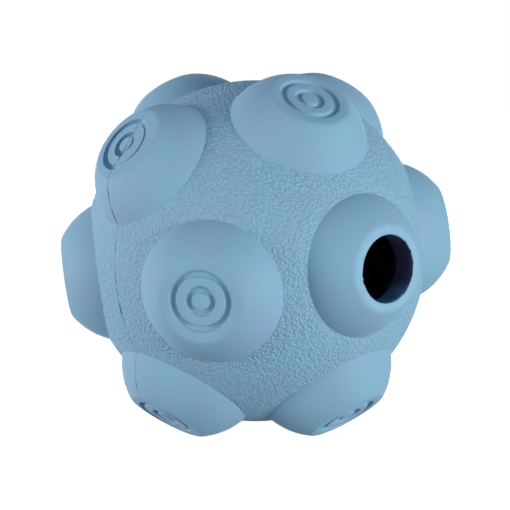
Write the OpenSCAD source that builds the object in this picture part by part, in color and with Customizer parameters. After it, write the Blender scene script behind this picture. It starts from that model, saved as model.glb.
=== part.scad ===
// A hollow rubber ball that drops treats as it rolls.
// Fourteen round knobs stand on its body, one on each face and each corner of a cube.
// It is moulded as two half shells, bonded at an upright seam through four of the knobs.
// The knob on the +X side is bored through as the treat hole.
// The ball stands on three knobs, at z = 0, with the origin under its centre.

/* [Ball] */
// Distance across two opposite knob tips
ball_d = 90; // [82:0.5:98]
// Thickness of the rubber round the body and the flanks of the knobs
wall_t = 4.5; // [3.5:0.1:5.5]

/* [Knobs] */
// Height of the flat tips above the round body
knob_rise = 4.9; // [4:0.1:6]
// Diameter of a knob where it leaves the body
knob_base_d = 31.8; // [29:0.2:34]
// Diameter at which a knob's flank would meet its flat tip without the bevel
knob_tip_d = 18.2; // [17.6:0.2:20]
// Width of the bevel between the flat tip and the flank
tip_bevel_w = 1.1; // [0.6:0.1:1.6]
// Height of that bevel
tip_bevel_h = 0.35; // [0.1:0.05:0.5]
// Thickness of the rubber under a flat tip, which is also the length of the treat hole
tip_wall_t = 5.2; // [4.4:0.1:6]

/* [Ring grooves] */
// Diameter of the outer ring groove, at the middle of its width
outer_ring_d = 12.2; // [11.4:0.1:13]
// Diameter of the inner ring groove, at the middle of its width
inner_ring_d = 5.2; // [4.4:0.1:6.6]
// Width of a groove at the tip's surface
ring_w = 1.6; // [1.2:0.1:2]
// Width of a groove at its floor
ring_floor_w = 0.9; // [0.5:0.1:1.1]
// Depth of a groove
ring_depth = 1; // [0.5:0.1:1.6]

/* [Treat hole] */
// Diameter of the treat hole
hole_d = 14.8; // [12:0.2:16]

/* [Seam] */
// Thickness of the rubber bond between the two half shells
bond_t = 0.3; // [0.2:0.05:0.6]
// Depth of the hairline that the bond leaves along the seam
bond_recess = 0.2; // [0.1:0.05:0.4]

/* [Hidden] */
$fn = 120;
// How far a cutting shape reaches past what it cuts
overrun = 1;

ball_r = ball_d / 2;
body_r = ball_r - knob_rise;
// Height above the ball's centre of the circle where a knob leaves the body
knob_base_h = sqrt(pow(body_r, 2) - pow(knob_base_d / 2, 2));
// A knob's flank is a sphere through that circle and the edge of the flat tip
knob_centre_h = (pow(ball_r, 2) + pow(knob_tip_d / 2, 2) - pow(body_r, 2)) / (2 * (ball_r - knob_base_h));
knob_r = norm([knob_tip_d / 2, ball_r - knob_centre_h]);
// A knob starts inside the wall of the body
knob_foot_h = knob_base_h - wall_t / 2;

// Tilt about the X axis at which three knobs, one on a face and two on corners, reach down alike
rest_tilt = atan(sqrt(3) - 1);
rest_h = knob_centre_h * cos(rest_tilt) + knob_r;

mouth_axis = [1, 0, 0];
face_axes = [mouth_axis, -mouth_axis, [0, 1, 0], [0, -1, 0], [0, 0, 1], [0, 0, -1]];
corner_axes = [for (x = [-1, 1], y = [-1, 1], z = [-1, 1]) [x, y, z]];
knob_axes = concat(face_axes, corner_axes);
ringed_axes = [for (axis = knob_axes) if (axis != mouth_axis) axis];

rubber_blue = [0.52, 0.67, 0.78];
bond_blue = [0.56, 0.72, 0.82];

mouth_side = 1;
blind_side = -1;

// Turns a shape that points along +Z to point along an axis
module along(axis) {
    rotate([0, acos(axis.z / norm(axis)), atan2(axis.y, axis.x)]) children();
}

// Turns the ball to its resting pose and lifts it to stand on z = 0
module at_rest() {
    translate([0, 0, rest_h]) rotate([-rest_tilt, 0, 0]) children();
}

// Half outline of a knob, set in all over by inset: round flank, bevel and flat tip
module knob_outline(inset) {
    flank_r = knob_r - inset;
    top_h = ball_r - inset;
    bevel_foot_x = sqrt(pow(flank_r, 2) - pow(top_h - tip_bevel_h - knob_centre_h, 2));
    flat_x = bevel_foot_x - tip_bevel_w;
    bevel_end_h = top_h - (flank_r - flat_x) * tip_bevel_h / tip_bevel_w;
    intersection() {
        translate([0, knob_centre_h]) circle(flank_r);
        polygon([
            [0, knob_foot_h],
            [flank_r, knob_foot_h],
            [flank_r, bevel_end_h],
            [flat_x, top_h],
            [0, top_h]
        ]);
    }
}

// The ball's outer form, set in all over by inset
module ball_form(inset) {
    sphere(body_r - inset);
    for (axis = knob_axes) along(axis) rotate_extrude() knob_outline(inset);
}

// The hollow under a knob: round flanks and a flat top under the tip
module knob_pocket() {
    pocket_r = knob_r - wall_t;
    rotate_extrude() intersection() {
        translate([0, knob_centre_h]) circle(pocket_r);
        translate([0, knob_centre_h]) square([pocket_r, ball_r - tip_wall_t - knob_centre_h]);
    }
}

// The hollow inside the ball
module hollow() {
    sphere(body_r - wall_t);
    for (axis = knob_axes) along(axis) knob_pocket();
}

// One ring groove in a knob's flat tip
module ring_groove(groove_d) {
    slope = (ring_w - ring_floor_w) / 2 / ring_depth;
    mouth_half_w = ring_w / 2 + slope * overrun;
    rotate_extrude() translate([groove_d / 2, ball_r]) polygon([
        [-ring_floor_w / 2, -ring_depth],
        [ring_floor_w / 2, -ring_depth],
        [mouth_half_w, overrun],
        [-mouth_half_w, overrun]
    ]);
}

// Both ring grooves of every knob but the bored one
module ring_grooves() {
    for (axis = ringed_axes) along(axis) {
        ring_groove(outer_ring_d);
        ring_groove(inner_ring_d);
    }
}

// The bore through the tip of the knob on the mouth axis
module treat_hole() {
    along(mouth_axis) translate([0, 0, ball_r - tip_wall_t - overrun])
        cylinder(h = tip_wall_t + 2 * overrun, d = hole_d);
}

// The whole hollow ball as one form, before it is parted at the seam
module shell() {
    difference() {
        ball_form(0);
        ring_grooves();
        hollow();
        treat_hole();
    }
}

// Everything on one side of the bond
module beside_bond(side) {
    reach = ball_d + 2 * overrun;
    translate([side * (bond_t + reach) / 2, 0, 0]) cube(reach, center = true);
}

// The half shell with the treat hole
module mouth_half() {
    color(rubber_blue) at_rest() intersection() {
        shell();
        beside_bond(mouth_side);
    }
}

// The half shell without a hole
module blind_half() {
    color(rubber_blue) at_rest() intersection() {
        shell();
        beside_bond(blind_side);
    }
}

// The layer of rubber cured between the halves, which bridges the ring grooves as a thin web
module seam_bond() {
    color(bond_blue) at_rest() intersection() {
        difference() {
            ball_form(bond_recess);
            hollow();
        }
        cube([bond_t, ball_d, ball_d], center = true);
    }
}

mouth_half();
blind_half();
seam_bond();
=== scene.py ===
"""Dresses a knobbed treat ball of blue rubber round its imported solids, and sets it in a plain studio.

The ball is two moulded half shells with a bond of cured rubber in the seam between them.
Its shapes are drawn about its own centre: the treat hole points along +X, the seam is the plane X = 0,
and fourteen knobs stand on the faces and corners of a cube. The last step turns it to its resting pose.
"""

import math

import bpy
from mathutils import Matrix, Vector


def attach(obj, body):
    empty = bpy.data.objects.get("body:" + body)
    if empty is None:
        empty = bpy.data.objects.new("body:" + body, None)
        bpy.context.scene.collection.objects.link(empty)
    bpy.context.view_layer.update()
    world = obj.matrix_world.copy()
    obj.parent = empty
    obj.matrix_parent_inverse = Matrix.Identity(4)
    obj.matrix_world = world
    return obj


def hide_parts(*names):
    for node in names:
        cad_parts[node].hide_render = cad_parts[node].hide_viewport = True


bl_info = {
    "name": "Rubber treat ball",
    "version": (1, 0, 0),
    "blender": (4, 5, 0),
    "location": "3D View > Sidebar > Treat Ball",
    "description": "Builds a knobbed rubber treat ball and the plain studio it stands in",
    "category": "Add Mesh",
}

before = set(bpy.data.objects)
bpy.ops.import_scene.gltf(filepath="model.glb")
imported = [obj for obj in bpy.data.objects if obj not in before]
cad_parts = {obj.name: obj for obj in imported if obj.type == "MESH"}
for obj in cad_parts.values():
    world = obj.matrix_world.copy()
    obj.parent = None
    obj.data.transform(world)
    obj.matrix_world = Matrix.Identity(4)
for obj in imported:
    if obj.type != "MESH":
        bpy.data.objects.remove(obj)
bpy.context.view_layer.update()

MM = 0.001
MOUTH_SIDE = 1
BLIND_SIDE = -1

# How far a cutting shape reaches past what it cuts
OVERRUN = 1 * MM
# Points closer than this become one
WELD = 0.002 * MM
# How far over a tip the stamp of its rings is held
STAMP_CLEARANCE = 0.05 * MM
# Faces round a knob, and faces along the roundings of its outline
KNOB_SEGMENTS = 72
RING_EDGE_FACES = 3
TIP_EDGE_FACES = 5
FLANK_FACES = 11
POCKET_SEGMENTS = 48
HOLE_SEGMENTS = 240
# Edges that turn by more than this show as creases
CREASE_ANGLE = math.radians(50)
# What faces are marked with: the body's skin, the knobs' skin, the stamped rings and the hollow's lining.
# Torn faces have 0
SKIN = "skin"
BODY_SKIN = 1.0
KNOB_SKIN = 2.0
RING_SKIN = 3.0
LINING = 4.0
# How far off a mark may be read and still count
MARK_TOLERANCE = 0.2

# The treat hole's mouth is worn to a rim this much wider, with small nicks this deep and far apart
HOLE_RIM = 0.1 * MM
HOLE_NICK = 0.2 * MM
HOLE_NICK_PERIOD = 1.2 * MM
# The levels of noise at which a nick begins and is at its deepest
HOLE_NICK_LEVELS = (0.55, 0.75)
# How far down from its mouth the hole is nicked, and how far down its cut reaches
HOLE_NICKED = 1.2 * MM
HOLE_REACH = 7 * MM
# How far round the hole the tip is painted paler as painted light, and over what width that fades
PAINTED_LIGHT_WIDTH = 2.4 * MM
PAINTED_LIGHT_FADE = 0.8 * MM
# How far below the ball's centre the inside's painted light begins, and where it is at its full
PAINTED_LIGHT_FROM = 3 * MM
PAINTED_LIGHT_AT = 6 * MM

# Slits torn along the hairline of the seam, strewn round a circle of radius 1: how many, how far each is
# moved from its even place at most, and the height on the circle that they reach up to
SLIT_COUNT = 64
SLIT_SEED = 5
SLIT_SHIFT = 0.04
SLITS_UP_TO = 0.12
# Their smallest and largest width, length and depth
SLIT_SMALLEST = (0.05 * MM, 0.8 * MM, 0.2 * MM)
SLIT_LARGEST = (0.24 * MM, 3.2 * MM, 0.6 * MM)
# Where they gape, on the tip and near the foot of one knob and on the body below it: the angle down from
# the knob's axis, how near to it on the circle, and how many times wider
GAPES = ((0, 0.16, 3), (math.radians(19), 0.12, 3), (math.radians(47), 0.3, 2))
# Parts with fewer points than this, cut loose between slits, are dropped
SCRAP_POINTS = 500

# A pebble's valley and its crest begin this far from its middle, as shares of the grain's width; the valley
# is painted darker and the crest lighter by these shares of the rubber's colour: painted shade and painted
# light
PEBBLE_VALLEY, PEBBLE_CREST = 0.8, 0.15
VALLEY_PAINTED_SHADE, CREST_PAINTED_LIGHT = 0.93, 1.15
# Real sizes of the patterns in the rubber: its cloudy patches, its pores and its flecks of painted light
# round the hole, the dust on the inner and torn rubber and the streaks in the bond
CLOUD_SIZE = 9 * MM
PORE_SIZE = 0.25 * MM
FLECK_SIZE = 0.8 * MM
DUST_SIZE = 3 * MM
STREAK_SIZE = 2 * MM
# How deep the pores, the raw rubber's dust and the bond's streaks are
PORE_DEPTH = 0.01 * MM
DUST_DEPTH = 0.1 * MM
STREAK_DEPTH = 0.05 * MM
# Most of a noise texture lies between these
MOST_NOISE = {"From Min": 0.3, "From Max": 0.7}
WHITE = (1.0, 1.0, 1.0, 1.0)


def to_linear(hex_colour):
    """Turns an sRGB colour such as 84acc6 to linear red, green and blue"""
    channels = [int(hex_colour[i : i + 2], 16) / 255 for i in (0, 2, 4)]
    return [c / 12.92 if c <= 0.04045 else ((c + 0.055) / 1.055) ** 2.4 for c in channels]


def give(tree, socket, value):
    """Sets a socket to a value, or links it to another socket or to a node's first output"""
    if isinstance(value, bpy.types.Node):
        value = value.outputs[0]
    if isinstance(value, bpy.types.NodeSocket):
        tree.links.new(value, socket)
    else:
        socket.default_value = value


def add(tree, kind, inputs=(), **settings):
    """Adds a node to a tree, with its settings and what its inputs are given, and returns it"""
    node = tree.nodes.new(kind)
    node.location = (200 * len(tree.nodes), 0)
    for name, value in settings.items():
        setattr(node, name, value)
    given = inputs.items() if isinstance(inputs, dict) else enumerate(inputs)
    for key, values in given:
        for value in values if isinstance(values, list) else [values]:
            give(tree, node.inputs[key], value)
    return node


def length_property(name, description, default):
    """A length in the sidebar, in metres"""
    return bpy.props.FloatProperty(
        name=name, description=description, default=default, precision=5, unit="LENGTH"
    )


def colour_property(name, description, hex_colour):
    """A colour in the sidebar"""
    return bpy.props.FloatVectorProperty(
        name=name, description=description, default=to_linear(hex_colour), subtype="COLOR"
    )


class TreatBallSizes(bpy.types.PropertyGroup):
    """Sizes of the ball, and of the marks on its surface"""

    ball_diameter: length_property("Ball Diameter", "Distance across two opposite knob tips", 90 * MM)
    knob_rise: length_property("Knob Rise", "Height of the flat tips above the round body", 4.9 * MM)
    wall: length_property("Wall", "Thickness of the rubber round the body", 4.5 * MM)
    knob_base_diameter: length_property(
        "Knob Base Diameter", "Diameter of a knob where it leaves the body", 31.8 * MM
    )
    knob_tip_diameter: length_property(
        "Knob Tip Diameter", "Where the flank would meet the flat tip without its rounding", 18.2 * MM
    )
    tip_edge_radius: length_property("Tip Edge Radius", "Rounding between the flat tip and the flank", 2 * MM)
    tip_wall: length_property("Tip Wall", "Thickness of the rubber under a flat tip", 5.2 * MM)
    outer_ring_diameter: length_property("Outer Ring Diameter", "Middle of the outer ring groove", 12.2 * MM)
    inner_ring_diameter: length_property("Inner Ring Diameter", "Middle of the inner ring groove", 5.2 * MM)
    ring_width: length_property("Ring Width", "Width of a ring groove at the tip's surface", 1.6 * MM)
    ring_floor_width: length_property("Ring Floor Width", "Width of a ring groove at its floor", 1.2 * MM)
    ring_depth: length_property("Ring Depth", "Depth of a ring groove", 0.7 * MM)
    ring_edge_radius: length_property("Ring Edge Radius", "Rounding of the edges of a ring groove", 0.12 * MM)
    hole_diameter: length_property("Hole Diameter", "Diameter of the treat hole", 14.8 * MM)
    seam_gap: length_property("Seam Gap", "Width of the bond between the half shells", 0.2 * MM)
    seam_ring_shift: length_property(
        "Seam Ring Shift", "How far off the seam, towards the blind half, its knobs' rings lie", 0.65 * MM
    )
    seam_ring_width: length_property(
        "Seam Ring Width", "Width of their ring grooves at the tip's surface", 1.4 * MM
    )
    seam_ring_floor_width: length_property(
        "Seam Ring Floor Width", "Width of their ring grooves at the floor", 1.2 * MM
    )
    mouth_ring_depth: length_property("Mouth Ring Depth", "Their depth on the mouth half", 0.3 * MM)
    blind_ring_depth: length_property("Blind Ring Depth", "Their depth on the blind half", 1.4 * MM)
    web_depth: length_property("Web Depth", "How deep the bond's webs lie in the ring grooves", 0.3 * MM)
    seam_recess: length_property("Seam Recess", "Depth of the hairline along the seam", 0.04 * MM)
    grain_width: length_property("Grain Width", "Distance between the grain's pebbles", 0.57 * MM)
    grain_depth: length_property("Grain Depth", "Height of the grain, from valley to crest", 0.11 * MM)
    mesh_size: length_property("Mesh Size", "Size of the faces that carry the grain", 0.285 * MM)


class TreatBallColours(bpy.types.PropertyGroup):
    """Colours of the rubber"""

    rubber: colour_property("Rubber", "The moulded rubber", "84b2cc")
    cloudy: colour_property("Cloudy Rubber", "The cloudy patches in the rubber", "88abca")
    # The inside colour is painted shade in the hole and the hollow, and the clean inside colour is painted
    # light on their lower side
    inside: colour_property("Inside", "The rubber in the hole and the hollow", "4c496e")
    clean: colour_property("Inside Painted Light", "The same, where treats rub off its dust", "4c81a4")
    # The torn colour is painted shade in the slits along the seam
    torn: colour_property("Torn", "The rubber in the slits along the seam", "4f7c9c")
    bond: colour_property("Bond", "The cured rubber in the seam", "88b0cd")


def ball_shape(sizes):
    """Works out from the ball's sizes the lengths, and the corners of outlines, that its trees are given"""
    ball_r = sizes.ball_diameter / 2
    body_r = ball_r - sizes.knob_rise
    tip_r = sizes.knob_tip_diameter / 2
    base_h = math.sqrt(body_r**2 - (sizes.knob_base_diameter / 2) ** 2)
    # A knob's flank is a sphere through its base circle and the edge of its flat tip
    centre_h = (ball_r**2 + tip_r**2 - body_r**2) / (2 * (ball_r - base_h))
    flank_r = math.hypot(tip_r, ball_r - centre_h)
    foot_h = base_h - sizes.wall / 2

    def arc_corner(radius, start, end):
        """Where the tangents at both ends of an arc about the flank's centre meet"""
        middle = (start + end) / 2
        reach = radius / math.cos((end - start) / 2)
        return (reach * math.sin(middle), 0, centre_h + reach * math.cos(middle))

    edge_r = sizes.tip_edge_radius
    edge_h = ball_r - edge_r - centre_h
    edge_x = math.sqrt((flank_r - edge_r) ** 2 - edge_h**2)
    edge_angle = math.atan2(edge_x, edge_h)
    foot_angle = math.acos((foot_h - centre_h) / flank_r)
    pocket_r = flank_r - sizes.wall
    pocket_top_h = ball_r - sizes.tip_wall
    pocket_angle = math.acos((pocket_top_h - centre_h) / pocket_r)
    # At this tilt three knobs, one on a face of the cube and two on corners, reach down alike
    rest_tilt = math.atan(math.sqrt(3) - 1)
    return {
        "Ball Radius": ball_r,
        "Body Radius": body_r,
        "Hollow Radius": body_r - sizes.wall,
        "Mesh Size": sizes.mesh_size,
        "Tip Edge": (edge_x + edge_r * math.tan(edge_angle / 2), 0, ball_r),
        "Tip Edge Radius": edge_r,
        "Flank Corner": arc_corner(flank_r, edge_angle, foot_angle),
        "Flank Radius": flank_r,
        "Knob Foot": (flank_r * math.sin(foot_angle), 0, foot_h),
        "Pocket Foot": (pocket_r, 0, centre_h),
        "Pocket Corner": arc_corner(pocket_r, pocket_angle, math.pi / 2),
        "Pocket Radius": pocket_r,
        "Pocket Top": (pocket_r * math.sin(pocket_angle), 0, pocket_top_h),
        "Seam Gap": sizes.seam_gap,
        "Rest Tilt": rest_tilt,
        "Rest Height": centre_h * math.cos(rest_tilt) + flank_r,
        "Inner Ring Radius": sizes.inner_ring_diameter / 2,
        "Outer Ring Radius": sizes.outer_ring_diameter / 2,
        "Ring Half Width": sizes.ring_width / 2,
        "Ring Floor Half Width": sizes.ring_floor_width / 2,
        "Ring Depth": sizes.ring_depth,
        "Ring Edge Radius": sizes.ring_edge_radius,
        "Seam Ring Shift": sizes.seam_ring_shift,
        "Seam Ring Half Width": sizes.seam_ring_width / 2,
        "Seam Ring Floor Half Width": sizes.seam_ring_floor_width / 2,
        "Seam Ring Depth": sizes.web_depth,
        "Hole Radius": sizes.hole_diameter / 2,
        "Grain Width": sizes.grain_width,
        "Grain Depth": sizes.grain_depth,
        "Seam Recess": sizes.seam_recess,
    }


def new_tree(name, shape, materials):
    """Makes a geometry tree with an input for each length, outline corner and material, and returns both"""
    tree = bpy.data.node_groups.new(name, "GeometryNodeTree")
    tree.is_modifier = True
    for socket, value in shape.items():
        kind = "Vector" if isinstance(value, tuple) else "Float"
        tree.interface.new_socket(socket, in_out="INPUT", socket_type="NodeSocket" + kind)
    for socket in materials:
        tree.interface.new_socket(socket, in_out="INPUT", socket_type="NodeSocketMaterial")
    tree.interface.new_socket("Geometry", in_out="OUTPUT", socket_type="NodeSocketGeometry")
    return tree, add(tree, "NodeGroupInput").outputs


def turned_solid(tree, corners, segments):
    """Turns a half outline round the Z axis to a closed solid.

    Each corner is its place, as distance from the axis and height, the radius of its rounding,
    and how many points the rounding has.
    """
    index = add(tree, "GeometryNodeInputIndex")
    chosen = []
    for kind, values in zip(("VECTOR", "FLOAT", "INT"), zip(*corners)):
        choice = add(tree, "GeometryNodeIndexSwitch", data_type=kind)
        while len(choice.index_switch_items) < len(corners):
            choice.index_switch_items.new()
        for socket, value in zip(list(choice.inputs), (index, *values)):
            give(tree, socket, value)
        chosen.append(choice)
    place, radius, count = chosen
    line = add(tree, "GeometryNodeMeshLine", {"Count": len(corners)})
    placed = add(tree, "GeometryNodeSetPosition", {"Geometry": line, "Position": place})
    outline = add(tree, "GeometryNodeMeshToCurve", [placed])
    rounded = add(
        tree,
        "GeometryNodeFilletCurve",
        {"Curve": outline, "Count": count, "Radius": radius, "Limit Radius": True},
        mode="POLY",
    )
    # Swept round a small circle, the outline lies in the plane across the circle's line
    laid = add(tree, "GeometryNodeTransform", {"Geometry": rounded, "Rotation": (math.pi / 2, 0, 0)})
    moved = add(tree, "GeometryNodeTransform", {"Geometry": laid, "Translation": (-OVERRUN, 0, 0)})
    circle = add(tree, "GeometryNodeCurvePrimitiveCircle", {"Resolution": segments, "Radius": OVERRUN})
    swept = add(tree, "GeometryNodeCurveToMesh", {"Curve": circle, "Profile Curve": moved})
    return add(tree, "GeometryNodeMergeByDistance", {"Geometry": swept, "Distance": WELD})


def marked(tree, geometry, skin):
    """Marks the faces of a geometry as one kind of skin or as lining"""
    return add(
        tree,
        "GeometryNodeStoreNamedAttribute",
        {"Geometry": geometry, "Name": SKIN, "Value": skin},
        data_type="FLOAT",
        domain="FACE",
    )


def on_axis(tree, place):
    """The point of the axis that is level with a place on an outline"""
    return add(tree, "ShaderNodeVectorMath", [place, (0, 0, 1)], operation="MULTIPLY")


def ring_corners(tree, size, ring, kind, lip):
    """The corners across a ring groove, from the knob's axis outwards, with its lips at a height"""
    middle = add(tree, "ShaderNodeCombineXYZ", {"X": size[ring], "Z": size["Ball Radius"]})
    lip_width, floor_width = size[kind + " Half Width"], size[kind + " Floor Half Width"]
    depth = size[kind + " Depth"]
    corners = []
    for width, across, height, up in (
        (lip_width, -1, lip, 1),
        (floor_width, -1, depth, -1),
        (floor_width, 1, depth, -1),
        (lip_width, 1, lip, 1),
    ):
        offset = add(tree, "ShaderNodeCombineXYZ", {"X": width, "Z": height})
        terms = [offset, (across, 0, up), middle]
        corner = add(tree, "ShaderNodeVectorMath", terms, operation="MULTIPLY_ADD")
        corners.append((corner, size["Ring Edge Radius"], RING_EDGE_FACES))
    return corners


def knob_outline(tree, size, ringed):
    """The corners of a knob's half outline, from the middle of its tip to the middle of its foot"""
    tip = add(tree, "ShaderNodeCombineXYZ", {"Z": size["Ball Radius"]})
    rings = ("Inner Ring Radius", "Outer Ring Radius") if ringed else ()
    return [
        (tip, 0.0, 1),
        *(corner for ring in rings for corner in ring_corners(tree, size, ring, "Ring", 0.0)),
        (size["Tip Edge"], size["Tip Edge Radius"], TIP_EDGE_FACES),
        (size["Flank Corner"], size["Flank Radius"], FLANK_FACES),
        (size["Knob Foot"], 0.0, 1),
        (on_axis(tree, size["Knob Foot"]), 0.0, 1),
    ]


def ring_stamp(tree, size):
    """The solid that presses the rings into the seam's knobs: a disc with two ridges under it"""
    lip = STAMP_CLEARANCE
    rim = add(tree, "ShaderNodeCombineXYZ", {"X": size["Outer Ring Radius"], "Z": size["Ball Radius"]})
    steps = ((0, lip + OVERRUN, 0), (1, lip + OVERRUN, OVERRUN), (1, lip, OVERRUN), (0, lip, 0))
    top, outer_top, outer, middle = (
        add(tree, "ShaderNodeVectorMath", [rim, (share, 0, 1), (across, 0, up)], operation="MULTIPLY_ADD")
        for share, up, across in steps
    )
    ridges = [
        corner
        for ring in ("Inner Ring Radius", "Outer Ring Radius")
        for corner in ring_corners(tree, size, ring, "Seam Ring", lip)
    ]
    corners = [(top, 0.0, 1), (outer_top, 0.0, 1), (outer, 0.0, 1), *reversed(ridges), (middle, 0.0, 1)]
    pressed = on_knob_axes(tree, turned_solid(tree, corners, KNOB_SEGMENTS), "seam")
    shift = add(tree, "ShaderNodeMath", [size["Seam Ring Shift"], -1.0], operation="MULTIPLY")
    return add(
        tree,
        "GeometryNodeTransform",
        {"Geometry": pressed, "Translation": add(tree, "ShaderNodeCombineXYZ", {"X": shift})},
    )


def pocket_outline(tree, size):
    """The corners of the half outline of the pocket under a knob"""
    return [
        (on_axis(tree, size["Pocket Top"]), 0.0, 1),
        (size["Pocket Top"], 0.0, 1),
        (size["Pocket Corner"], size["Pocket Radius"], FLANK_FACES),
        (size["Pocket Foot"], 0.0, 1),
        (on_axis(tree, size["Pocket Foot"]), 0.0, 1),
    ]


def hole_outline(tree, size):
    """The corners of the half outline of the treat hole, worn a little wider at its mouth"""
    mouth = add(tree, "ShaderNodeCombineXYZ", {"X": size["Hole Radius"], "Z": size["Ball Radius"]})
    steps = (
        (HOLE_RIM, OVERRUN),
        (HOLE_RIM, 0),
        (0, -HOLE_RIM),
        (0, -HOLE_NICKED),
        (0, -HOLE_REACH),
    )
    places = [
        add(tree, "ShaderNodeVectorMath", [mouth, (across, 0, up)], operation="ADD") for across, up in steps
    ]
    ends = [on_axis(tree, place) for place in (places[0], places[-1])]
    return [(place, 0.0, 1) for place in (ends[0], *places, ends[1])]


def round_body(tree, size):
    """A sphere of even square faces, spread from the faces of a cube"""
    quarter = add(tree, "ShaderNodeMath", [size["Body Radius"], math.pi / 2], operation="MULTIPLY")
    count = add(tree, "ShaderNodeMath", [quarter, size["Mesh Size"]], operation="DIVIDE")
    cube = add(
        tree,
        "GeometryNodeMeshCube",
        {"Size": (2, 2, 2), "Vertices X": count, "Vertices Y": count, "Vertices Z": count},
    )
    place = add(tree, "GeometryNodeInputPosition")
    angle = add(tree, "ShaderNodeVectorMath", {0: place, "Scale": math.pi / 4}, operation="SCALE")
    spread = add(tree, "ShaderNodeVectorMath", [angle], operation="TANGENT")
    outwards = add(tree, "ShaderNodeVectorMath", [spread], operation="NORMALIZE")
    radius = size["Body Radius"]
    on_sphere = add(tree, "ShaderNodeVectorMath", {0: outwards, "Scale": radius}, operation="SCALE")
    return add(tree, "GeometryNodeSetPosition", {"Geometry": cube, "Position": on_sphere})


def raised(tree, geometry, height, direction):
    """Moves the points of a geometry by a height along a direction"""
    offset = add(tree, "ShaderNodeVectorMath", {0: direction, "Scale": height}, operation="SCALE")
    return add(tree, "GeometryNodeSetPosition", {"Geometry": geometry, "Offset": offset})


def pebbles(tree, place, radius, width):
    """The grain's pebbles on a sphere: 1 on a crest and 0 in the valleys between"""
    outwards = add(tree, "ShaderNodeVectorMath", [place], operation="NORMALIZE")
    on_sphere = add(tree, "ShaderNodeVectorMath", {0: outwards, "Scale": radius}, operation="SCALE")
    scale = add(tree, "ShaderNodeMath", [1.0, width], operation="DIVIDE")
    cells = add(tree, "ShaderNodeTexVoronoi", {"Vector": on_sphere, "Scale": scale})
    return add(
        tree,
        "ShaderNodeMapRange",
        {"Value": cells, "From Min": PEBBLE_VALLEY, "From Max": PEBBLE_CREST},
        interpolation_type="SMOOTHSTEP",
    )


def noise_height(tree, place, period, low, high, reach):
    """Noise of a period as a height: nought up to a low level of noise, its full reach from a high one"""
    scale = add(tree, "ShaderNodeMath", [1.0, period], operation="DIVIDE")
    noise = add(tree, "ShaderNodeTexNoise", {"Vector": place, "Scale": scale, "Detail": 1.0})
    return add(
        tree,
        "ShaderNodeMapRange",
        {"Value": noise, "From Min": low, "From Max": high, "To Min": 0.0, "To Max": reach},
        interpolation_type="SMOOTHSTEP",
    )


def on_knob_axes(tree, solid, which, side=None):
    """Stands a solid, drawn along +Z, on the axes of the knobs on one side of the seam and on the seam.

    which is "all", or "seam" for those on it alone, or "ringed" or "bored" for those off it.
    """
    cube = add(tree, "GeometryNodeMeshCube", {"Size": (2, 2, 2)})
    corners = add(tree, "GeometryNodeMeshToPoints", [cube], mode="VERTICES")
    faces = add(tree, "GeometryNodeMeshToPoints", [cube], mode="FACES")
    axes = add(tree, "GeometryNodeJoinGeometry", [[corners, faces]])
    axis = add(tree, "GeometryNodeInputPosition")
    along_x = add(tree, "ShaderNodeSeparateXYZ", [axis])
    if which == "seam":
        away = add(tree, "ShaderNodeMath", [along_x], operation="ABSOLUTE")
        far = add(tree, "FunctionNodeCompare", [away, 0.5], operation="GREATER_THAN")
    else:
        away = add(tree, "ShaderNodeMath", [along_x, side], operation="MULTIPLY")
        nearest = -0.5 if which == "all" else 0.5
        far = add(tree, "FunctionNodeCompare", [away, nearest], operation="LESS_THAN")
    near = add(tree, "GeometryNodeDeleteGeometry", {"Geometry": axes, "Selection": far}, domain="POINT")
    turn = add(tree, "FunctionNodeAlignRotationToVector", {"Vector": axis}, axis="Z")
    given = {"Points": near, "Instance": solid, "Rotation": turn}
    if which in ("ringed", "bored"):
        # Only the axis of the bored knob is as long as its X
        length = add(tree, "ShaderNodeVectorMath", [axis], operation="LENGTH")
        short = add(tree, "ShaderNodeMath", [along_x, length.outputs["Value"]], operation="SUBTRACT")
        order = "GREATER_THAN" if which == "bored" else "LESS_THAN"
        given["Selection"] = add(tree, "FunctionNodeCompare", [short, -0.5], operation=order)
    stood = add(tree, "GeometryNodeInstanceOnPoints", given)
    centre = add(tree, "ShaderNodeCombineXYZ")
    centred = add(tree, "GeometryNodeSetPosition", {"Geometry": stood, "Position": centre})
    return add(tree, "GeometryNodeRealizeInstances", [centred])


def hollow(tree, size, which, side=None):
    """The solids of the ball's hollow: the round room and the pockets under the knobs"""
    room = add(tree, "GeometryNodeMeshIcoSphere", {"Radius": size["Hollow Radius"], "Subdivisions": 5})
    pocket = turned_solid(tree, pocket_outline(tree, size), POCKET_SEGMENTS)
    return [room, on_knob_axes(tree, pocket, which, side)]


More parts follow.
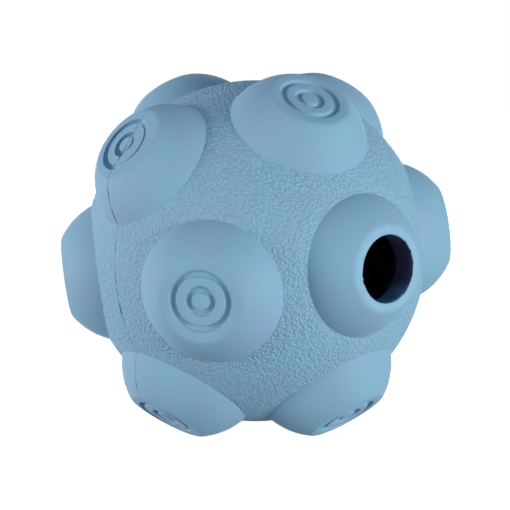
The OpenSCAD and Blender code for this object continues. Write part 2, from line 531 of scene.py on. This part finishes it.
def seam_slits(tree, size):
    """Thin slits torn along the hairline, as long pointed solids lying along the seam"""
    ball = add(tree, "GeometryNodeMeshIcoSphere", {"Radius": size["Body Radius"], "Subdivisions": 5})
    knob = turned_solid(tree, knob_outline(tree, size, False), POCKET_SEGMENTS)
    form = add(tree, "GeometryNodeJoinGeometry", [[ball, on_knob_axes(tree, knob, "seam")]])
    ring = add(tree, "GeometryNodeMeshCircle", {"Vertices": SLIT_COUNT, "Radius": 1.0})
    upright = add(tree, "GeometryNodeTransform", {"Geometry": ring, "Rotation": (0, math.pi / 2, 0)})
    points = add(tree, "GeometryNodeMeshToPoints", [upright], mode="VERTICES")
    given = {"Min": (0, -SLIT_SHIFT, -SLIT_SHIFT), "Max": (0, SLIT_SHIFT, SLIT_SHIFT), "Seed": SLIT_SEED}
    shift = add(tree, "FunctionNodeRandomValue", given, data_type="FLOAT_VECTOR")
    strewn = add(tree, "GeometryNodeSetPosition", {"Geometry": points, "Offset": shift})
    place = add(tree, "GeometryNodeInputPosition")
    height = add(tree, "ShaderNodeSeparateXYZ", [place])
    worn = add(tree, "FunctionNodeCompare", [height.outputs["Z"], SLITS_UP_TO], operation="LESS_THAN")
    inwards = add(tree, "ShaderNodeVectorMath", {0: place, "Scale": -1.0}, operation="SCALE")
    hit = add(
        tree,
        "GeometryNodeRaycast",
        {"Target Geometry": form, "Source Position": place, "Ray Direction": inwards, "Ray Length": 2.0},
    )
    # The slit's length runs along the seam, its depth along the surface's normal
    normal = hit.outputs["Hit Normal"]
    turn = add(tree, "FunctionNodeAlignRotationToVector", {"Vector": normal}, axis="Z", pivot_axis="X")
    given = {"Min": SLIT_SMALLEST, "Max": SLIT_LARGEST, "Seed": SLIT_SEED}
    gaping = add(tree, "FunctionNodeRandomValue", given, data_type="FLOAT_VECTOR")
    for angle, near, widest in GAPES:
        middle = (0.0, -math.cos(angle), -math.sin(angle))
        away = add(tree, "ShaderNodeVectorMath", [place, middle], operation="DISTANCE").outputs["Value"]
        given = {"Value": away, "From Min": near, "From Max": 0.0, "To Min": 1.0, "To Max": widest}
        wider = add(tree, "ShaderNodeMapRange", given)
        gaping = add(tree, "ShaderNodeVectorMath", {0: gaping, "Scale": wider}, operation="SCALE")
    slit = add(tree, "GeometryNodeMeshIcoSphere", {"Radius": 0.5, "Subdivisions": 2})
    torn = add(
        tree,
        "GeometryNodeInstanceOnPoints",
        {"Points": strewn, "Selection": worn, "Instance": slit, "Rotation": turn, "Scale": gaping},
    )
    surface = hit.outputs["Hit Position"]
    landed = add(tree, "GeometryNodeSetPosition", {"Geometry": torn, "Position": surface})
    return add(tree, "GeometryNodeRealizeInstances", [landed])


def without_scraps(tree, geometry):
    """Drops the small parts of a geometry that slits have cut loose"""
    island = add(tree, "GeometryNodeInputMeshIsland")
    given = {"Value": 1.0, "Group ID": island.outputs["Island Index"]}
    points = add(tree, "GeometryNodeAccumulateField", given)
    scrap = add(tree, "FunctionNodeCompare", [points.outputs["Total"], SCRAP_POINTS], operation="LESS_THAN")
    given = {"Geometry": geometry, "Selection": scrap}
    return add(tree, "GeometryNodeDeleteGeometry", given, domain="POINT")


def at_rest(tree, size, geometry):
    """Turns and lifts a finished shape to its resting pose, and shades it smooth but for its creases"""
    angles = add(tree, "ShaderNodeMath", [size["Rest Tilt"], -1.0], operation="MULTIPLY")
    turn = add(tree, "ShaderNodeCombineXYZ", {"X": angles})
    rotation = add(tree, "FunctionNodeEulerToRotation", [turn])
    lift = add(tree, "ShaderNodeCombineXYZ", {"Z": size["Rest Height"]})
    given = {"Geometry": geometry, "Translation": lift, "Rotation": rotation}
    placed = add(tree, "GeometryNodeTransform", given)
    smooth = add(
        tree, "GeometryNodeSetShadeSmooth", {"Geometry": placed, "Shade Smooth": True}, domain="FACE"
    )
    bend = add(tree, "GeometryNodeInputMeshEdgeAngle")
    steep = add(tree, "FunctionNodeCompare", [bend, CREASE_ANGLE], operation="GREATER_THAN")
    # An edge between two neighbouring kinds of skin reads the mean of both marks, halfway between numbers
    mark = add(tree, "GeometryNodeInputNamedAttribute", {"Name": SKIN}, data_type="FLOAT")
    part = add(tree, "ShaderNodeMath", [mark], operation="FRACT")
    between = add(tree, "ShaderNodeMath", [part, 0.5, MARK_TOLERANCE], operation="COMPARE")
    crease = add(tree, "FunctionNodeBooleanMath", [steep, between], operation="OR")
    creased = add(
        tree,
        "GeometryNodeSetShadeSmooth",
        {"Geometry": smooth, "Selection": crease, "Shade Smooth": False},
        domain="EDGE",
    )
    return add(tree, "GeometryNodeRealizeInstances", [creased])


def half_shell_tree(shape):
    """The tree of a half shell: grained body and knobs, less the hollow, the treat hole and the seam"""
    tree, size = new_tree("Half shell", {**shape, "Side": 0.0}, ("Rubber", "Inside", "Torn"))
    side = size["Side"]
    place = add(tree, "GeometryNodeInputPosition")
    outwards = add(tree, "ShaderNodeVectorMath", [place], operation="NORMALIZE")
    grain = pebbles(tree, place, size["Body Radius"], size["Grain Width"])
    height = add(tree, "ShaderNodeMath", [grain, 0.5], operation="SUBTRACT")
    level = add(tree, "ShaderNodeMath", [height, size["Grain Depth"]], operation="MULTIPLY")
    body = marked(tree, raised(tree, round_body(tree, size), level, outwards), BODY_SKIN)
    ringed, plain = (
        marked(tree, turned_solid(tree, knob_outline(tree, size, with_rings), KNOB_SEGMENTS), KNOB_SKIN)
        for with_rings in (True, False)
    )
    knobs = [
        on_knob_axes(tree, solid, which, side)
        for solid, which in ((ringed, "ringed"), (plain, "bored"), (plain, "seam"))
    ]
    form = add(
        tree, "GeometryNodeMeshBoolean", {"Mesh 2": [body, *knobs]}, operation="UNION", solver="MANIFOLD"
    )
    hole = turned_solid(tree, hole_outline(tree, size), HOLE_SEGMENTS)
    across = add(tree, "ShaderNodeVectorMath", [place, (1, 1, 0)], operation="MULTIPLY")
    away = add(tree, "ShaderNodeVectorMath", [across], operation="NORMALIZE")
    height = add(tree, "ShaderNodeSeparateXYZ", [place])
    bottom = add(tree, "ShaderNodeMath", [size["Ball Radius"], HOLE_NICKED], operation="SUBTRACT")
    nicked = add(tree, "FunctionNodeCompare", [height.outputs["Z"], bottom], operation="GREATER_THAN")
    reach = add(tree, "ShaderNodeMath", [nicked, HOLE_NICK], operation="MULTIPLY")
    nick = noise_height(tree, place, HOLE_NICK_PERIOD, *HOLE_NICK_LEVELS, reach)
    bore = raised(tree, hole, nick, away)
    linings = [*hollow(tree, size, "all", side), on_knob_axes(tree, bore, "bored", side)]
    cuts = [
        *(marked(tree, lining, LINING) for lining in linings),
        marked(tree, ring_stamp(tree, size), RING_SKIN),
        seam_slits(tree, size),
    ]
    shell = add(
        tree,
        "GeometryNodeMeshBoolean",
        {"Mesh 1": form, "Mesh 2": cuts},
        operation="DIFFERENCE",
        solver="MANIFOLD",
    )
    room = add(tree, "ShaderNodeMath", [size["Ball Radius"], 2.0], operation="MULTIPLY")
    sides = add(tree, "ShaderNodeCombineXYZ", [room, room, room])
    block = add(tree, "GeometryNodeMeshCube", {"Size": sides})
    gap = add(tree, "ShaderNodeMath", [size["Seam Gap"], 0.5], operation="MULTIPLY")
    reach_x = add(tree, "ShaderNodeMath", [size["Ball Radius"], gap], operation="ADD")
    shift = add(tree, "ShaderNodeMath", [reach_x, side], operation="MULTIPLY")
    beside = add(
        tree,
        "GeometryNodeTransform",
        {"Geometry": block, "Translation": add(tree, "ShaderNodeCombineXYZ", {"X": shift})},
    )
    half = add(
        tree,
        "GeometryNodeMeshBoolean",
        {"Mesh 2": [shell, beside]},
        operation="INTERSECT",
        solver="MANIFOLD",
    )
    placed = at_rest(tree, size, without_scraps(tree, half))
    dressed = add(tree, "GeometryNodeSetMaterial", {"Geometry": placed, "Material": size["Rubber"]})
    mark = add(tree, "GeometryNodeInputNamedAttribute", {"Name": SKIN}, data_type="FLOAT")
    # The slits take the torn rubber, and the hole and the hollow the inside rubber: both painted shade
    for order, limit, material in (
        ("LESS_THAN", BODY_SKIN - MARK_TOLERANCE, "Torn"),
        ("GREATER_THAN", LINING - MARK_TOLERANCE, "Inside"),
    ):
        chosen = add(tree, "FunctionNodeCompare", [mark, limit], operation=order)
        dressed = add(
            tree,
            "GeometryNodeSetMaterial",
            {"Geometry": dressed, "Selection": chosen, "Material": size[material]},
        )
    add(tree, "NodeGroupOutput", [dressed])
    return tree


def seam_bond_tree(shape):
    """The tree of the bond: a slice through the ball, set in a little, with webs in the ring grooves"""
    tree, size = new_tree("Seam bond", shape, ("Bond",))
    knob = turned_solid(tree, knob_outline(tree, size, False), KNOB_SEGMENTS)
    form = add(
        tree,
        "GeometryNodeMeshBoolean",
        {"Mesh 2": [round_body(tree, size), on_knob_axes(tree, knob, "seam")]},
        operation="UNION",
        solver="MANIFOLD",
    )
    sunk = add(tree, "ShaderNodeMath", [size["Seam Recess"], -1.0], operation="MULTIPLY")
    inset = raised(tree, form, sunk, add(tree, "GeometryNodeInputNormal"))
    room = add(tree, "ShaderNodeMath", [size["Ball Radius"], 2.0], operation="MULTIPLY")
    slab = add(
        tree,
        "GeometryNodeMeshCube",
        {"Size": add(tree, "ShaderNodeCombineXYZ", [size["Seam Gap"], room, room])},
    )
    slice_through = add(
        tree, "GeometryNodeMeshBoolean", {"Mesh 2": [inset, slab]}, operation="INTERSECT", solver="MANIFOLD"
    )
    cuts = [*hollow(tree, size, "seam"), ring_stamp(tree, size), seam_slits(tree, size)]
    bond = add(
        tree,
        "GeometryNodeMeshBoolean",
        {"Mesh 1": slice_through, "Mesh 2": cuts},
        operation="DIFFERENCE",
        solver="MANIFOLD",
    )
    placed = at_rest(tree, size, without_scraps(tree, bond))
    cured = add(tree, "GeometryNodeSetMaterial", {"Geometry": placed, "Material": size["Bond"]})
    add(tree, "NodeGroupOutput", [cured])
    return tree


def settle(name, tree, values):
    """Runs a tree with its named inputs, and returns what it makes as a plain mesh in a piece of its own"""
    carrier = bpy.data.objects.new(name + ".tree", bpy.data.meshes.new(name + ".tree"))
    bpy.context.scene.collection.objects.link(carrier)
    modifier = carrier.modifiers.new("Shape", "NODES")
    modifier.node_group = tree
    for socket in tree.interface.items_tree:
        if socket.in_out == "INPUT":
            modifier[socket.identifier] = values[socket.name]
    evaluated = carrier.evaluated_get(bpy.context.evaluated_depsgraph_get())
    mesh = bpy.data.meshes.new_from_object(evaluated)
    mesh.name = name
    if mesh.materials[0] is None:
        # Every face has a material of its own, so the empty slot that the boolean left is dropped
        mesh.materials.pop(index=0)
    carrier.modifiers.remove(modifier)
    bpy.data.objects.remove(carrier)
    if not mesh.polygons:
        raise RuntimeError(f"{name} came out empty")
    piece = bpy.data.objects.new(name, mesh)
    bpy.context.scene.collection.objects.link(piece)
    return piece


def new_material(name):
    """Makes a material and returns it with its tree and its surface shader"""
    material = bpy.data.materials.new(name)
    material.use_nodes = True
    return material, material.node_tree, material.node_tree.nodes["Principled BSDF"]


def ball_coordinates(tree, shape):
    """Places on the ball, in metres, in the axes that its shapes are drawn in"""
    coordinates = add(tree, "ShaderNodeTexCoord")
    return add(
        tree,
        "ShaderNodeMapping",
        {
            "Vector": coordinates.outputs["Object"],
            "Location": (0, 0, shape["Rest Height"]),
            "Rotation": (-shape["Rest Tilt"], 0, 0),
        },
        vector_type="TEXTURE",
    )


def moulded_rubber(name, colours, shape):
    """Natural rubber, pressed in an etched mould: to the eye matt, a little cloudy and finely pored"""
    material, tree, shader = new_material(name)
    place = ball_coordinates(tree, shape)
    cloud = add(tree, "ShaderNodeTexNoise", {"Vector": place, "Scale": 1 / CLOUD_SIZE, "Detail": 3.0})
    clouds = add(tree, "ShaderNodeMapRange", {"Value": cloud, "From Min": 0.35, "From Max": 0.65})
    colour = add(
        tree,
        "ShaderNodeMix",
        {0: clouds, 6: (*colours.cloudy, 1.0), 7: (*colours.rubber, 1.0)},
        data_type="RGBA",
    )
    # Round the treat hole the tip is painted a little paler, in flecks: painted light
    along_bore = add(tree, "ShaderNodeSeparateXYZ", [place])
    on_mouth = add(tree, "ShaderNodeMath", [along_bore, 0.0], operation="GREATER_THAN")
    across_bore = add(tree, "ShaderNodeVectorMath", [place, (0, 1, 1)], operation="MULTIPLY")
    from_bore = add(tree, "ShaderNodeVectorMath", [across_bore], operation="LENGTH")
    fleck = add(tree, "ShaderNodeTexNoise", {"Vector": place, "Scale": 1 / FLECK_SIZE, "Detail": 2.0})
    painted_light = add(tree, "ShaderNodeMapRange", {"Value": fleck, **MOST_NOISE, "To Min": 0.05, "To Max": 0.15})
    painted_light_rim = add(
        tree,
        "ShaderNodeMapRange",
        {
            "Value": from_bore.outputs["Value"],
            "From Min": shape["Hole Radius"] + PAINTED_LIGHT_WIDTH + PAINTED_LIGHT_FADE / 2,
            "From Max": shape["Hole Radius"] + PAINTED_LIGHT_WIDTH - PAINTED_LIGHT_FADE / 2,
            "To Max": painted_light,
        },
        interpolation_type="SMOOTHSTEP",
    )
    paler = add(tree, "ShaderNodeMath", [painted_light_rim, on_mouth, 1.0], operation="MULTIPLY_ADD")
    # The grain covers the body alone, and sharpens the pebbles that its mesh has
    skin = add(tree, "ShaderNodeAttribute", attribute_name=SKIN)
    terms = [skin.outputs["Fac"], BODY_SKIN, MARK_TOLERANCE]
    on_body = add(tree, "ShaderNodeMath", terms, operation="COMPARE")
    pebble = pebbles(tree, place, shape["Body Radius"], shape["Grain Width"])
    height = add(tree, "ShaderNodeMath", [pebble, on_body], operation="MULTIPLY")
    # Its valleys are painted darker and its crests lighter: painted shade and painted light
    tone = add(tree, "ShaderNodeMapRange", {"Value": pebble, "To Min": VALLEY_PAINTED_SHADE, "To Max": CREST_PAINTED_LIGHT})
    smooth = add(tree, "ShaderNodeMath", [1.0, on_body], operation="SUBTRACT")
    level = add(tree, "ShaderNodeMath", [tone, on_body, smooth], operation="MULTIPLY_ADD")
    shade = add(tree, "ShaderNodeMath", [level, paler], operation="MULTIPLY")
    shaded = add(tree, "ShaderNodeVectorMath", {0: colour.outputs[2], "Scale": shade}, operation="SCALE")
    tree.links.new(shaded.outputs[0], shader.inputs["Base Color"])
    # Too fine to see one by one, these pores only take the shine off the knobs
    pores = add(tree, "ShaderNodeTexNoise", {"Vector": place, "Scale": 1 / PORE_SIZE, "Detail": 2.0})
    pored = add(tree, "ShaderNodeBump", {"Height": pores, "Strength": 0.5, "Distance": PORE_DEPTH})
    bump = add(
        tree,
        "ShaderNodeBump",
        {"Height": height, "Strength": 1.0, "Distance": shape["Grain Depth"], "Normal": pored},
    )
    tree.links.new(bump.outputs[0], shader.inputs["Normal"])
    rough = add(tree, "ShaderNodeMapRange", {"Value": cloud, **MOST_NOISE, "To Min": 0.62, "To Max": 0.74})
    tree.links.new(rough.outputs[0], shader.inputs["Roughness"])
    shader.inputs["IOR"].default_value = 1.52
    shader.inputs["Specular IOR Level"].default_value = 0.35
    return material


def painted_shade_rubber(name, tone, clean, shape):
    """Rubber inside the ball or in a tear: a dark colour that is painted shade, with painted light on its
    lower side where a lighter colour is given, dusty and dull
    """
    material, tree, shader = new_material(name)
    place = ball_coordinates(tree, shape)
    dust = add(tree, "ShaderNodeTexNoise", {"Vector": place, "Scale": 1 / DUST_SIZE, "Detail": 4.0})
    level = add(tree, "ShaderNodeMapRange", {"Value": dust, **MOST_NOISE, "To Min": 0.7, "To Max": 1.2})
    # The lower side of the hole and the hollow is painted lighter: painted light
    upwards = (0, -math.sin(shape["Rest Tilt"]), math.cos(shape["Rest Tilt"]))
    up = add(tree, "ShaderNodeVectorMath", [place, upwards], operation="DOT_PRODUCT")
    painted_light = add(
        tree,
        "ShaderNodeMapRange",
        {"Value": up.outputs["Value"], "From Min": -PAINTED_LIGHT_FROM, "From Max": -PAINTED_LIGHT_AT},
        interpolation_type="SMOOTHSTEP",
    )
    raw = add(tree, "ShaderNodeMix", {0: painted_light, 6: (*tone, 1.0), 7: (*clean, 1.0)}, data_type="RGBA")
    dark = add(tree, "ShaderNodeVectorMath", {0: raw.outputs[2], "Scale": level}, operation="SCALE")
    tree.links.new(dark.outputs[0], shader.inputs["Base Color"])
    bump = add(tree, "ShaderNodeBump", {"Height": dust, "Strength": 0.4, "Distance": DUST_DEPTH})
    tree.links.new(bump.outputs[0], shader.inputs["Normal"])
    shader.inputs["Roughness"].default_value = 0.85
    shader.inputs["Specular IOR Level"].default_value = 0.2
    return material


def cured_bond(name, colours, shape):
    """Rubber cured in the seam: a shade paler in places, and slightly smoother than the moulded faces"""
    material, tree, shader = new_material(name)
    place = ball_coordinates(tree, shape)
    streak = add(tree, "ShaderNodeTexNoise", {"Vector": place, "Scale": 1 / STREAK_SIZE, "Detail": 2.0})
    level = add(tree, "ShaderNodeMapRange", {"Value": streak, **MOST_NOISE, "To Min": 0.85, "To Max": 1.05})
    tone = add(tree, "ShaderNodeVectorMath", {0: tuple(colours.bond), "Scale": level}, operation="SCALE")
    tree.links.new(tone.outputs[0], shader.inputs["Base Color"])
    bump = add(tree, "ShaderNodeBump", {"Height": streak, "Strength": 0.5, "Distance": STREAK_DEPTH})
    tree.links.new(bump.outputs[0], shader.inputs["Normal"])
    shader.inputs["Roughness"].default_value = 0.6
    shader.inputs["Specular IOR Level"].default_value = 0.35
    return material


class TREATBALL_OT_half_shells(bpy.types.Operator):
    """Builds both moulded half shells of the ball"""

    bl_idname = "treatball.half_shells"
    bl_label = "Half Shells"

    def execute(self, context):
        sizes, colours = context.scene.treat_ball_sizes, context.scene.treat_ball_colours
        shape = ball_shape(sizes)
        tree = half_shell_tree(shape)
        given = {
            **shape,
            "Rubber": moulded_rubber("Moulded natural rubber", colours, shape),
            # The inside and torn rubbers are darkened as painted shade, the inside with painted light on its
            # lower side
            "Inside": painted_shade_rubber("Inner rubber with painted shade", colours.inside, colours.clean, shape),
            "Torn": painted_shade_rubber("Torn rubber with painted shade", colours.torn, colours.torn, shape),
        }
        for node, side, ring_depth in (
            ("mouth_half", MOUTH_SIDE, sizes.mouth_ring_depth),
            ("blind_half", BLIND_SIDE, sizes.blind_ring_depth),
        ):
            values = {**given, "Side": float(side), "Seam Ring Depth": ring_depth}
            piece = settle(node + "_rubber", tree, values)
            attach(piece, "root")
            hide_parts(node)
        return {"FINISHED"}


class TREATBALL_OT_seam_bond(bpy.types.Operator):
    """Builds the bond of cured rubber between the half shells"""

    bl_idname = "treatball.seam_bond"
    bl_label = "Seam Bond"

    def execute(self, context):
        sizes, colours = context.scene.treat_ball_sizes, context.scene.treat_ball_colours
        shape = ball_shape(sizes)
        given = {**shape, "Bond": cured_bond("Cured rubber bond", colours, shape)}
        piece = settle("seam_bond_rubber", seam_bond_tree(shape), given)
        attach(piece, "root")
        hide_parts("seam_bond")
        return {"FINISHED"}


# Where the camera stands: its bearing, height angle, roll and distance from the ball's centre
CAMERA_AZIMUTH = math.radians(50.83)
CAMERA_ELEVATION = math.radians(6.79)
CAMERA_ROLL = math.radians(-0.346)
CAMERA_DISTANCE = 371.3 * MM
CAMERA_LENS_MM = 110.7
SENSOR_WIDTH_MM = 36
# Where the ball's centre lies in the picture, as shares of its width from the picture's middle
CENTRE_RIGHT_SHARE = 0.76 / 510
CENTRE_UP_SHARE = 4.28 / 510

FLOOR_RADIUS = 2.5
FLOOR_SIDES = 96
# The floor is this grey to the lamps, and glows this strongly to the eye
FLOOR_GREY = (0.5, 0.5, 0.5, 1.0)
FLOOR_GLOW = 0.95
WORLD_STRENGTH = 0.25
WORLD_COLOUR = "cce7ff"
# Each soft box: bearing from the camera, height angle, distance, width, height, strength and colour
SOFT_BOXES = {
    "Right soft box": (50, 0, 0.8, 0.4, 0.12, 5.8, "fdfff8"),
    "Left soft box": (-76, 4, 0.8, 0.4, 0.3, 5.5, "fdf6f2"),
    "Upper soft box": (-40, 40, 0.8, 0.3, 0.3, 0.35, "fdf6f2"),
    "Rear soft box": (180, 2, 0.8, 0.6, 0.12, 3.5, "ffffff"),
}


def direction(azimuth, elevation):
    """The way from the ball to something at a bearing and a height angle"""
    return Vector(
        (
            math.sin(azimuth) * math.cos(elevation),
            -math.cos(azimuth) * math.cos(elevation),
            math.sin(elevation),
        )
    )


def seen_by_eye(tree):
    """1 for what looks at a surface straight, in a mirror or through glass, and 0 for what it lights"""
    path = add(tree, "ShaderNodeLightPath")
    straight, mirrored, through = (
        path.outputs[ray] for ray in ("Is Camera Ray", "Is Glossy Ray", "Is Transmission Ray")
    )
    either = add(tree, "ShaderNodeMath", [straight, mirrored], operation="ADD")
    return add(tree, "ShaderNodeMath", [either, through], operation="ADD", use_clamp=True)


class TREATBALL_OT_studio(bpy.types.Operator):
    """Builds the floor, the lights and the camera"""

    bl_idname = "treatball.studio"
    bl_label = "Studio"

    def execute(self, context):
        scene = context.scene
        shape = ball_shape(scene.treat_ball_sizes)
        centre = Vector((0, 0, shape["Rest Height"]))

        mesh = bpy.data.meshes.new("floor")
        turns = [2 * math.pi * i / FLOOR_SIDES for i in range(FLOOR_SIDES)]
        rim = [(FLOOR_RADIUS * math.cos(turn), FLOOR_RADIUS * math.sin(turn), 0) for turn in turns]
        mesh.from_pydata(rim, [], [tuple(range(FLOOR_SIDES))])
        floor = bpy.data.objects.new("floor", mesh)
        scene.collection.objects.link(floor)
        # Matt white card: it takes the ball's soft shadow and is otherwise as white as the background
        card, tree, shader = new_material("Matt white card")
        shader.inputs["Base Color"].default_value = FLOOR_GREY
        shader.inputs["Roughness"].default_value = 1.0
        shader.inputs["Specular IOR Level"].default_value = 0.0
        level = add(tree, "ShaderNodeMath", [seen_by_eye(tree), FLOOR_GLOW], operation="MULTIPLY")
        glow = add(tree, "ShaderNodeEmission", {"Color": WHITE, "Strength": level})
        lit = add(tree, "ShaderNodeAddShader", [shader, glow])
        tree.links.new(lit.outputs[0], tree.nodes["Material Output"].inputs["Surface"])
        mesh.materials.append(card)

        world = bpy.data.worlds.new("Studio")
        world.use_nodes = True
        tree = world.node_tree
        around = tree.nodes["Background"]
        seen = seen_by_eye(tree)
        level = add(tree, "ShaderNodeMapRange", {"Value": seen, "To Min": WORLD_STRENGTH, "To Max": 1.0})
        tree.links.new(level.outputs[0], around.inputs["Strength"])
        tone = add(
            tree,
            "ShaderNodeMix",
            {0: seen, 6: (*to_linear(WORLD_COLOUR), 1.0), 7: WHITE},
            data_type="RGBA",
        )
        tree.links.new(tone.outputs[2], around.inputs["Color"])
        scene.world = world

        for name, (bearing, height, distance, width, tall, strength, colour) in SOFT_BOXES.items():
            light = bpy.data.lights.new(name, "AREA")
            light.shape = "RECTANGLE"
            light.size, light.size_y = width, tall
            light.energy = strength
            light.color = to_linear(colour)
            lamp = bpy.data.objects.new(name, light)
            way = direction(CAMERA_AZIMUTH + math.radians(bearing), math.radians(height))
            lamp.location = centre + way * distance
            lamp.rotation_mode = "QUATERNION"
            lamp.rotation_quaternion = way.to_track_quat("Z", "Y")
            lamp.visible_camera = False
            scene.collection.objects.link(lamp)

        back = direction(CAMERA_AZIMUTH, CAMERA_ELEVATION)
        right = Vector((math.cos(CAMERA_AZIMUTH), math.sin(CAMERA_AZIMUTH), 0))
        up = back.cross(right)
        across = right * math.cos(CAMERA_ROLL) + up * math.sin(CAMERA_ROLL)
        above = up * math.cos(CAMERA_ROLL) - right * math.sin(CAMERA_ROLL)
        data = bpy.data.cameras.new("Camera")
        data.sensor_width = SENSOR_WIDTH_MM
        data.lens = CAMERA_LENS_MM
        data.shift_x, data.shift_y = -CENTRE_RIGHT_SHARE, -CENTRE_UP_SHARE
        data.clip_start = 10 * MM
        camera = bpy.data.objects.new("Camera", data)
        camera.matrix_world = Matrix.Translation(centre + back * CAMERA_DISTANCE) @ Matrix(
            (across, above, back)
        ).transposed().to_4x4()
        scene.collection.objects.link(camera)
        scene.camera = camera
        scene.view_settings.view_transform = "Standard"
        return {"FINISHED"}


class TREATBALL_PT_sidebar(bpy.types.Panel):
    """The ball's sizes, colours and builders"""

    bl_label = "Treat Ball"
    bl_idname = "TREATBALL_PT_sidebar"
    bl_space_type = "VIEW_3D"
    bl_region_type = "UI"
    bl_category = "Treat Ball"

    def draw(self, context):
        column = self.layout.column()
        for group in (context.scene.treat_ball_sizes, context.scene.treat_ball_colours):
            for name in group.__annotations__:
                column.prop(group, name)
        for operator in OPERATORS:
            column.operator(operator.bl_idname)


OPERATORS = (TREATBALL_OT_half_shells, TREATBALL_OT_seam_bond, TREATBALL_OT_studio)
CLASSES = (TreatBallSizes, TreatBallColours, *OPERATORS, TREATBALL_PT_sidebar)


def register():
    for each in CLASSES:
        bpy.utils.register_class(each)
    bpy.types.Scene.treat_ball_sizes = bpy.props.PointerProperty(type=TreatBallSizes)
    bpy.types.Scene.treat_ball_colours = bpy.props.PointerProperty(type=TreatBallColours)


def unregister():
    del bpy.types.Scene.treat_ball_colours
    del bpy.types.Scene.treat_ball_sizes
    for each in reversed(CLASSES):
        bpy.utils.unregister_class(each)


def main():
    """Builds the ball and its studio"""
    register()
    bpy.ops.treatball.half_shells()
    bpy.ops.treatball.seam_bond()
    bpy.ops.treatball.studio()


if __name__ == "__main__":
    main()
